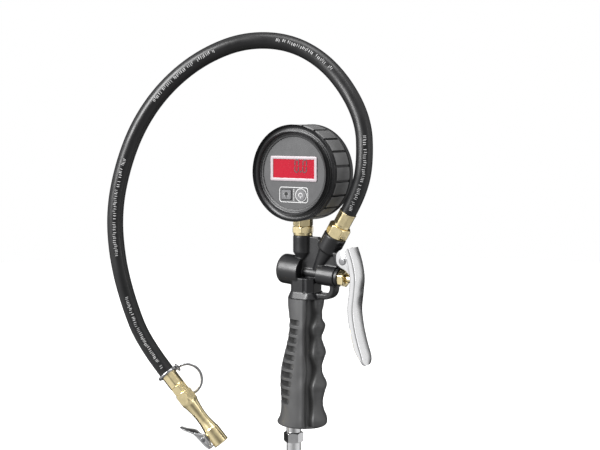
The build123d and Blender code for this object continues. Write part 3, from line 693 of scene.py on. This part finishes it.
def add_valve_spring():
    """Three turns of wire: one end rests on the rear cap, the other on the poppet."""
    radius, wire, start, end = 4.2, 0.45, -14.05, -9.05
    turns, steps = 3, 32
    rings = []
    for step in range(turns * steps + 1):
        turn = TAU * step / steps
        along = start + (end - start) * step / (turns * steps)
        ring = []
        for corner in range(10):
            a = TAU * corner / 10
            reach = radius + wire * math.cos(a)
            ring.append((reach * math.cos(turn), reach * math.sin(turn), along + wire * math.sin(a)))
        rings.append(ring)
    spring = skin("valve_spring_wound", VALVE, rings, wire_steel)
    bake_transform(spring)
    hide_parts("valve_spring")


# -------------------- lever
# outer face of the lever in the X-Z plane, from the top to the tip
LEVER_OUTER = [
    (55.5, 182.6), (59.6, 171), (61.6, 160), (60.8, 147), (59.6, 135), (61.4, 121),
    (64.8, 108), (68.2, 97.5), (69.0, 92.0),
]
LEVER_HALF_WIDTH = 8.0
# outline of an ear round the lever's pin, in the same plane
EAR_OUTLINE = [
    (53.4, 181.6), (51.6, 181.8), (47.4, 180.5), (44.7, 177.4), (44.4, 173.5), (45.2, 170),
    (48, 167.6), (53, 165.2), (56.6, 162.6), (57.8, 166), (56.4, 172), (54.8, 177),
]


def smooth_run(points, count):
    """Evenly spread points on a smooth line through the given ones, with their directions."""
    points = np.array(points, float)
    knots = np.concatenate([[0], np.cumsum(np.linalg.norm(np.diff(points, axis=0), axis=1))])
    places = np.linspace(0, knots[-1], count)
    run = np.array([
        [smooth_lookup(place, knots, points[:, axis]) for axis in range(points.shape[1])] for place in places
    ])
    along = np.gradient(run, axis=0)
    return places, run, along / np.linalg.norm(along, axis=1, keepdims=True)


def channel_section(half, depth, sheet, bend):
    """(inward, across) outline of a pressed channel with rounded outer corners."""
    section = []
    for side in (1, -1):
        corner = []
        for step in range(7):
            a = math.radians(90 * step / 6)
            corner.append((bend - bend * math.sin(a), side * (half - bend + bend * math.cos(a))))
        inside = half - sheet
        wall = [
            (sheet + 0.2, side * inside), (depth - 0.35, side * inside), (depth, side * (inside + 0.35)),
            (depth, side * (half - 0.35)), (depth - 0.35, side * half),
        ]
        half_section = wall + corner
        section += half_section if side == 1 else half_section[::-1]
    return section


def add_lever_channel():
    """Pressed channel, shallower and rounded towards its tip."""
    places, run, along = smooth_run(LEVER_OUTER, 120)
    rings = []
    for place, (x, z), (dx, dz) in zip(places, run, along):
        left = places[-1] - place
        tip = math.sqrt(max(1 - (max(6.5 - left, 0) / 6.6) ** 2, 0.0))
        half = LEVER_HALF_WIDTH * (0.35 + 0.65 * tip)
        depth = 2.0 + 3.0 * float(smoothstep(0, 14, left))
        section = channel_section(half, depth, 1.5, 1.4)
        rings.append([(x + dz * inward, across, z - dx * inward) for inward, across in section])
    lever = skin("lever_channel", PLUG, rings, lever_chrome, sharp_angle=50)
    show(lever, "trigger", "trigger_lever")


def add_lever_ear(name, side):
    """A flat ear from the channel to the pin; its rims are rounded by shrinking the outer outlines."""
    outline = np.array(EAR_OUTLINE)
    middle = outline.mean(axis=0)
    offset = outline - middle
    reach = np.linalg.norm(offset, axis=1, keepdims=True)
    rings = []
    for across, shrink in ((6.5, 0.3), (6.7, 0), (7.75, 0), (7.95, 0.3)):
        shape = middle + offset * (1 - shrink / reach)
        _, smooth_shape, _ = smooth_run(np.vstack([shape, shape[:1]]), 73)
        rings.append([(x, side * across, z) for x, z in smooth_shape[:-1]])
    ear = skin(name, PLUG, rings, lever_chrome, sharp_angle=40)
    show(ear, "trigger")


def add_lever():
    add_lever_channel()
    add_lever_ear("lever_ear_near", -1)
    add_lever_ear("lever_ear_far", 1)
    outline = [(0, -8.9), (2.2, -8.9), (3.0, -8.5), (3.1, -8.1), (2.0, -8.0), (2.0, 8.0), (3.1, 8.1),
               (3.0, 8.5), (2.2, 8.9), (0, 8.9)]
    pin = Place((50.3, 0, 172.3), (0, 1, 0), (1, 0, 0))
    turned("trigger_pin", pin, outline, 0.3, wire_steel, around=48, name="lever_pin")


# -------------------- gauge
PAD_COUNT = 20
PAD_RISE = 1.15
PAD_MIDDLE = -0.6  # along the gauge's axis
STEM_HOLE = 8.1  # radius


def pad_profile(angle, along):
    """1 on the raised pads of the boot's waist, 0 in the grooves between them."""
    pitch = TAU / PAD_COUNT
    turn = (angle + pitch / 2) % pitch - pitch / 2
    across = smoothstep(5.25, 4.85, np.abs(turn) * 37.5)
    length = smoothstep(9.6, 9.0, abs(along - PAD_MIDDLE))
    return across * length


def boot_wall(angle, radius, along):
    """The boot's wall with its pads, cut back where the brass stem enters."""
    wall = np.full_like(angle, radius)
    if radius > 36 and -11.5 < along < 9.6:
        wall = wall + PAD_RISE * pad_profile(angle, along)
    over_stem = (np.hypot(radius * np.cos(angle), along) < STEM_HOLE) & (np.sin(angle) > 0)
    return np.where(over_stem, np.minimum(wall, 34.4), wall)


def add_boot():
    outline = [
        (33.9, 12.4), (31, 12.4), (31, 15), (36.8, 15), (37.9, 13.9), (37.9, 10), (36.6, 9.3),
    ]
    outline += [(36.6, 9.2 - 0.3 * step) for step in range(69)]
    outline += [(36.3, -11.7), (36.4, -12.6)]
    rim = np.radians(np.arange(100, -146, -9))
    outline += [(34.6 + 3.3 * math.sin(a), -15.7 - 3.3 * math.cos(a)) for a in math.pi - rim[1:]]
    outline += [
        (31.2, -14.6), (30.3, -14.5), (30.1, -14.0), (28.5, -13.9), (28.3, -13.4), (33.9, -13.4),
        (33.9, 12.4),
    ]
    boot = lathe(
        "boot", GAUGE, softened(outline, 0.8), boot_rubber, boot_wall, around=720, sharp_angle=50)
    # the side pads get the lighter pad rubber, which is partly painted light
    boot.data.materials.append(pad_rubber_painted_light)
    middle, along = GAUGE.point(0, 0, 0), Vector(GAUGE.z)
    for face in boot.data.polygons:
        offset = face.center - middle
        reach = offset.dot(along)
        if (offset - along * reach).length > 37.2 * MM and abs(reach - PAD_MIDDLE * MM) < 9.4 * MM:
            face.material_index = 1
    show(boot, "gun", "gauge_boot")


# on the dial: x of the two buttons, heights of the rows above the gauge's axis, and depths along y
LEFT_BUTTON, RIGHT_BUTTON = -6.6, 6.8
BUTTON_ROW, DISPLAY_ROW = -17, 3.5
DIAL, CAP_FOOT, CAP_TOP = -13.3, -11.6, -14.2


def face_place(x, height, depth):
    """A place on the gauge's face: local x to the right, y down, z into the gauge."""
    origin = GAUGE.origin + np.array([x, depth, height])
    return Place(origin, (0, 1, 0), (1, 0, 0))


def circle(radius, around):
    turns = np.linspace(0, TAU, around, endpoint=False)
    return radius * np.column_stack([np.cos(turns), np.sin(turns)])


def rounded_rectangle(width, height, corner, steps=8):
    points = []
    for quarter, (sx, sy) in enumerate(((1, 1), (-1, 1), (-1, -1), (1, -1))):
        for step in range(steps + 1):
            angle = math.radians(90 * quarter + 90 * step / steps)
            points.append((
                sx * (width / 2 - corner) + corner * math.cos(angle),
                sy * (height / 2 - corner) + corner * math.sin(angle),
            ))
    return np.array(points)


def raised_ring(name, place, width, height, corner, border, rise, material):
    """A rounded rectangular frame with softened edges."""
    profile = [(0, 0), (0, 0.8), (0.2, 1), (0.8, 1), (1, 0.8), (1, 0), (0, 0)]
    rings = []
    for inward, up in profile:
        cut = 2 * inward * border
        outline = rounded_rectangle(width - cut, height - cut, max(corner - inward * border, 0.3))
        rings.append(np.column_stack([outline, np.full(len(outline), -up * rise)]))
    return skin(name, place, rings, material, sharp_angle=60)


def raised_plate(name, place, outline, rise, material):
    """A flat plate with softened edges, standing off the face by rise."""
    rings = []
    lengths = np.linalg.norm(outline, axis=1, keepdims=True)
    for shrink, up in ((0, 0), (0, 0.8), (0.12, 0.95), (0.3, 1)):
        shape = outline * (1 - shrink / np.maximum(lengths, 0.31))
        rings.append(np.column_stack([shape, np.full(len(outline), -up * rise)]))
    return skin(name, place, rings, material, sharp_angle=35)


def bar_outline(start, end, width):
    """A bar with pointed ends, as a seven-segment display has."""
    start, end = np.array(start, float), np.array(end, float)
    along = unit(end - start)
    side = np.array([-along[1], along[0]]) * width / 2
    tip = along * width / 2
    return [start, start + tip + side, end - tip + side, end, end - tip - side, start + tip - side]


def flat_print(name, place, outlines, rise, material):
    """Thin flat shapes that stand off a face by rise."""
    verts, faces = [], []
    for outline in outlines:
        first, count = len(verts), len(outline)
        verts += [tuple(place.point(x, y, depth)) for depth in (0, -rise) for x, y in outline]
        faces.append(tuple(range(first, first + count)))
        faces.append(tuple(range(first + 2 * count - 1, first + count - 1, -1)))
        faces += band(first, first + count, count)
    return add_mesh(name, verts, faces, material)


# the ends of the strokes of a seven-segment zero, as shares of its width and height
ZERO_CORNERS = [(0, 1), (1, 1), (1, 0.5), (1, 0), (0, 0), (0, 0.5)]


def add_digits():
    """Two thin zeros with a point between them, slanted as on a real display."""
    width, tall, stroke, slant, gap = 3.3, 9.4, 1.0, 0.4, 0.2
    outlines = []
    for left in (1.0, 8.4):
        for ends in zip(ZERO_CORNERS, ZERO_CORNERS[1:] + ZERO_CORNERS[:1]):
            start, end = (np.array((left + u * width + slant * v, -v * tall)) for u, v in ends)
            inset = unit(end - start) * gap
            outlines.append(bar_outline(start + inset, end - inset, stroke))
    outlines.append([(5.9, 0.3), (5.9, -1.2), (7.3, -1.2), (7.3, 0.3)])
    digits = flat_print("display_digits", face_place(0, 0.9, -13.52), outlines, 0.12, digit_ink)
    show(digits, "gun")


def add_face():
    trim = raised_ring(
        "display_frame", face_place(0, DISPLAY_ROW, DIAL), 43, 19.4, 1.2, 2.3, 0.8, display_trim)
    show(trim, "gun", "lcd_frame")
    outline = raised_ring(
        "panel_outline", face_place(0, BUTTON_ROW, DIAL), 26.8, 12.2, 2.4, 0.55, 0.3, white_print)
    show(outline, "gun", "button_surround")
    divider = raised_plate(
        "panel_divider", face_place(0.2, BUTTON_ROW, DIAL), rounded_rectangle(0.5, 9.4, 0.2), 0.3,
        white_print)
    show(divider, "gun")
    cap_rise = CAP_FOOT - CAP_TOP
    left = raised_plate(
        "left_button_cap", face_place(LEFT_BUTTON, BUTTON_ROW, CAP_FOOT),
        rounded_rectangle(9.0, 7.6, 1.2), cap_rise, button_plastic)
    show(left, "left_button", "button_left")
    right = raised_plate(
        "right_button_cap", face_place(RIGHT_BUTTON, BUTTON_ROW, CAP_FOOT),
        circle(4.6, 64), cap_rise, button_plastic)
    show(right, "right_button", "button_right")
    window = raised_plate(
        "display_window", face_place(0, DISPLAY_ROW, -13.74), rounded_rectangle(38.2, 16.6, 0.4), 0.2,
        clear_window)
    show(window, "gun", "lcd_window")
    add_icons()


def add_icons():
    """A small lamp sign on the left button, a power sign in a ring on the right one."""
    profile = [(4.75, -13.3), (4.75, -13.6), (5.25, -13.6), (5.25, -13.3), (4.75, -13.3)]
    ring_place = face_place(RIGHT_BUTTON, BUTTON_ROW, 0)
    ring = lathe("right_button_ring", ring_place, profile, white_print, around=72)
    show(ring, "gun")
    lamp = face_place(LEFT_BUTTON, -16.4, CAP_TOP)
    add_sign("lamp_bulb", lamp, circle(1.5, 32), "left_button", black_gloss)
    for index, width in enumerate((1.7, 1.1)):
        base = face_place(LEFT_BUTTON, -18.6 - 0.75 * index, CAP_TOP)
        line = rounded_rectangle(width, 0.45, 0.15)
        add_sign(f"lamp_base_{index}", base, line, "left_button", black_gloss)
    for index in range(5):
        turn = math.radians(45 * index)
        ray = [(reach * math.cos(turn), reach * math.sin(turn)) for reach in (2.0, 2.875)]
        add_sign(f"lamp_ray_{index}", lamp, bar_outline(*ray, 0.35), "left_button", white_print)
    power = face_place(RIGHT_BUTTON, BUTTON_ROW, CAP_TOP)
    turns = np.radians(np.linspace(125, 415, 40))
    outer = [(1.9 * math.cos(a), 1.9 * math.sin(a)) for a in turns]
    inner = [(1.4 * math.cos(a), 1.4 * math.sin(a)) for a in turns[::-1]]
    add_sign("power_arc", power, outer + inner, "right_button", white_print)
    stroke = [(-0.25, 0.7), (0.25, 0.7), (0.25, 2.5), (-0.25, 2.5)]
    add_sign("power_stroke", power, stroke, "right_button", white_print)


def add_sign(name, place, outline, button, material):
    """A thin printed shape lying on a button cap."""
    sign = flat_print(name, place, [outline], 0.06, material)
    show(sign, button)


def add_gauge():
    add_boot()
    add_face()
    add_digits()
    stem_outline = [
        (1.2, 190), (4.8, 190), (4.8, 197), (7.0, 197), (8.0, 197.6), (8.0, 205.2), (4.8, 205.4),
        (4.8, 211), (1.2, 211), (1.2, 190),
    ]
    turned("gauge_stem", MAST, stem_outline, 0.3, brass, hexagonal(14.0, 0.3))
    nut_outline = [
        (4.9, 189.9), (7.7, 189.9), (7.7, 191.4), (7.75, 191.6), (8.9, 192.3), (8.9, 196.2),
        (7.8, 196.95), (4.9, 196.95), (4.9, 189.9),
    ]
    turned("gauge_nut", MAST, nut_outline, 0.35, brass, hexagonal(15.5, 0.1))


# -------------------- outlet fitting and ferrules
def crimped(radius, start, end):
    """Flatten a sleeve to eight pressed facets between its rims."""
    def shape(angle, wall, along):
        bend = (angle % (TAU / 8)) - TAU / 16
        flats = radius * 0.955 / np.cos(bend)
        pressed = smoothstep(start + 1.0, start + 2.2, along) * smoothstep(end - 0.3, end - 1.2, along)
        return np.minimum(wall, wall + (flats - radius) * pressed)
    return shape


def ferrule(name, place, radius, start, end, inner, node):
    """A crimped sleeve round the hose's end."""
    outline = [(inner, start), (radius - 0.3, start)]
    outline += [(radius, along) for along in np.linspace(start + 0.3, end - 0.3, 24)]
    outline += [(radius - 0.4, end), (inner, end), (inner, start)]
    piece = lathe(name, place, outline, brass, crimped(radius, start, end), around=128)
    show(piece, "gun", node)


def add_outlet():
    outline = [
        (2.0, 27.5), (6.0, 27.5), (6.0, 35), (8.0, 35.05), (9.1, 35.9), (9.1, 43.4), (7.9, 44.4),
        (3.25, 44.5), (3.25, 64), (2.0, 66), (2.0, 27.5),
    ]
    turned("outlet_fitting", OUTLET, outline, 0.35, brass, hexagonal(16.0, 0.25))
    ferrule("ferrule_gun", OUTLET, 7.0, 44.5, OUTLET_EXIT, 5.8, "hose_ferrule_gun")
    ferrule("ferrule_chuck", CHUCK, 6.4, 0.0, 12.9, 5.2, "hose_ferrule_chuck")


# -------------------- chuck
def add_chuck():
    collar = [
        (3.25, 12.9), (6.1, 12.95), (6.95, 13.4), (6.95, 19.3), (6.2, 19.65), (1.8, 19.7), (1.8, 12.9),
    ]
    turned("chuck_coupling", CHUCK, collar, 0.25, brass, hexagonal(12.2, 0.75))
    outline = [
        (4.0, 19.75), (7.0, 19.75), (7.9, 20.6), (8.1, 22.5), (8.1, 26.5), (7.6, 29.2),
        (6.2, 32), (5.5, 36.7), (5.0, 41), (4.85, 44.7), (5.0, 49), (5.4, 52.4), (6.1, 56.6),
        (6.2, 56.9), (6.5, 57.5), (6.5, 71.2), (6.1, 71.6), (4.1, 71.6), (4.1, 61), (1.8, 61), (1.8, 25.3),
    ]
    turned("chuck_body", CHUCK, outline, 0.35, brass, hexagonal(14.0, 0.75), around=144)
    rounded_copy("clip_bracket", wire_steel, 0.25)
    rounded_copy("clip_pin", wire_steel, 0.3)
    rounded_copy("chuck_clip_lever", lever_chrome, 0.2, "clip")
    add_thumb_pad()
    rounded_copy("ring_collar", wire_steel, 0.1)
    add_key_ring()


# inner line of the clip's thumb plate: (sideways, along) points
THUMB_LINE = [(18.0, 40.6), (15.6, 46.0), (12.1, 51.6), (11.5, 55.5)]


def add_thumb_pad():
    """Black crescent moulded under the thumb plate."""
    count = 40
    _, run, along = smooth_run(THUMB_LINE, count)
    rings = []
    for step, ((x, z), (dx, dz)) in enumerate(zip(run, along)):
        t = step / (count - 1)
        thick = 0.25 + 2.3 * math.sin(math.pi * (t * 0.62 + 0.02)) ** 1.5
        ring = []
        for depth, across in rounded_rectangle(thick, 8.6, min(0.45 * thick, 0.8), 4):
            inward = depth + thick / 2 + 0.02
            ring.append((x - dz * inward, across, z + dx * inward))
        rings.append(ring)
    pad = skin("clip_thumb_pad", CHUCK, rings, black_gloss, sharp_angle=50)
    show(pad, "clip")


def add_key_ring():
    """A split ring: two close turns of flat-sided wire."""
    pivot = CHUCK.origin - CHUCK.x * 7.5 + CHUCK.y * 10.3
    radius, half_width, half_thick, half_gap, around, steps = 12.5, 1.15, 0.47, 0.48, 12, 160
    rings = []
    for step in range(steps + 1):
        turn = 2 * TAU * step / steps
        lift = half_gap * (2 * smoothstep(0.42, 0.58, step / steps) - 1)
        radial = CHUCK.x * math.sin(turn) - CHUCK.z * math.cos(turn)
        middle = pivot + CHUCK.z * radius + radial * radius + CHUCK.y * lift
        rings.append([
            middle + radial * (half_width * x) + CHUCK.y * (half_thick * y) for x, y in circle(1, around)])
    show(skin("split_ring", PLUG, rings, wire_steel), "ring", "key_ring")


add_plug()
add_grip()
add_valve()
add_lever()
add_gauge()
add_outlet()
add_chuck()


# -------------------- inner nodes keep their CAD shape
INNER_NODES = [
    (casting_paint, ["valve_rear_cap"]),
    (brass, ["valve_poppet", "chuck_core_pin"]),
    (seal_rubber, ["poppet_seal", "stem_seal", "chuck_seal"]),
    (case_plastic, ["gauge_case", "battery_door", "pressure_sensor", "button_switches"]),
    (wire_steel, ["case_screws", "battery_contacts", "clip_spring"]),
    (cell_wrap, ["batteries"]),
    (board_green, ["circuit_board"]),
    (dial_plastic, ["dial_plate"]),
    (display_red, ["lcd_screen"]),
]

for material, names in INNER_NODES:
    for name in names:
        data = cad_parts[name].data
        data.materials.clear()
        data.materials.append(material)


# -------------------- light
LEVEL, TURN = math.radians(CAMERA_PITCH), math.radians(CAMERA_AZIMUTH)
AWAY = Vector((-math.sin(TURN) * math.cos(LEVEL), math.cos(TURN) * math.cos(LEVEL), -math.sin(LEVEL)))
TO_THE_RIGHT = Vector((math.cos(TURN), math.sin(TURN), 0))
OBJECT_MIDDLE = Vector((0, 0, 0.19))


def add_softbox(name, right, toward, up, size, radiance):
    """A softbox placed as the camera sees it, in metres from the middle of the object."""
    data = bpy.data.lights.new(name, "AREA")
    data.shape = "RECTANGLE"
    data.size, data.size_y = size
    data.energy = radiance * math.pi * size[0] * size[1]
    light = new_object(name, data)
    offset = TO_THE_RIGHT * right - AWAY * toward + Vector((0, 0, up))
    light.location = OBJECT_MIDDLE + offset
    light.rotation_euler = (-offset).to_track_quat("-Z", "Y").to_euler()


# brightness of the studio against the cosine of the angle from the view direction
STUDIO_RAMP = [
    (-1.0, 0.22), (-0.93, 0.38), (-0.7, 0.72), (-0.35, 0.9), (0.2, 0.9), (0.44, 0.8),
    (0.52, 0.04), (0.925, 0.02), (0.942, 1.0),
]


def add_world():
    """White behind the object, ringed with black so that edges read dark, soft grey all round.

    Seen directly it is plain white, whichever way a view looks."""
    world = bpy.data.worlds.new("studio")
    world.use_nodes = True
    nodes, link = world.node_tree.nodes, world.node_tree.links.new
    direction = nodes.new("ShaderNodeTexCoord").outputs["Generated"]
    facing = nodes.new("ShaderNodeVectorMath")
    facing.operation = "DOT_PRODUCT"
    facing.inputs[1].default_value = AWAY
    link(direction, facing.inputs[0])
    half = nodes.new("ShaderNodeMath")
    half.operation = "MULTIPLY_ADD"
    half.inputs[1].default_value = 0.5
    half.inputs[2].default_value = 0.5
    link(facing.outputs["Value"], half.inputs[0])
    ramp = nodes.new("ShaderNodeValToRGB")
    stops = ramp.color_ramp.elements
    while len(stops) < len(STUDIO_RAMP):
        stops.new(0.5)
    for stop, (cosine, level) in zip(stops, STUDIO_RAMP):
        stop.position = (cosine + 1) / 2
        stop.color = (level, level, level, 1)
    link(half.outputs["Value"], ramp.inputs["Fac"])
    split = nodes.new("ShaderNodeSeparateXYZ")
    link(direction, split.inputs[0])
    below = nodes.new("ShaderNodeMapRange")
    below.interpolation_type = "SMOOTHSTEP"
    for socket, value in (("From Min", -0.95), ("From Max", -0.35), ("To Min", 0.4)):
        below.inputs[socket].default_value = value
    link(split.outputs["Z"], below.inputs["Value"])
    background = nodes["Background"]
    link(ramp.outputs["Color"], background.inputs["Color"])
    link(below.outputs["Result"], background.inputs["Strength"])
    backdrop = nodes.new("ShaderNodeBackground")
    backdrop.inputs["Color"].default_value = (1, 1, 1, 1)
    seen = nodes.new("ShaderNodeMixShader")
    link(nodes.new("ShaderNodeLightPath").outputs["Is Camera Ray"], seen.inputs["Fac"])
    link(background.outputs["Background"], seen.inputs[1])
    link(backdrop.outputs["Background"], seen.inputs[2])
    link(seen.outputs["Shader"], nodes["World Output"].inputs["Surface"])
    bpy.context.scene.world = world


def add_floor():
    """A pale floor just under the plug, which takes shadows but is neither mirrored nor casts light."""
    radius, height, around = 1.5, -10.2 * MM, 96
    shader = Shader("pale_floor", (0.86, 0.86, 0.86), 0.9)
    shader.set("Specular IOR Level", 0.0)
    shader.set("Emission Color", (1, 1, 1, 1))
    shader.set("Emission Strength", 0.4)
    disc = [(x, y, height) for x, y in circle(radius, around)]
    floor = add_mesh("floor", disc, [list(range(around))], shader.material)
    floor.visible_glossy = False
    floor.visible_diffuse = False
    floor.visible_transmission = False
    floor.visible_shadow = False


add_world()
add_floor()
add_softbox("key", -0.95, 0.6, 0.5, (0.45, 0.9), 22.0)
add_softbox("strip", 0.95, 0.5, 0.2, (0.16, 0.9), 2.0)
add_softbox("top", 0.1, 0.3, 1.0, (0.7, 0.4), 7.0)
bpy.context.scene.view_settings.view_transform = "Standard"
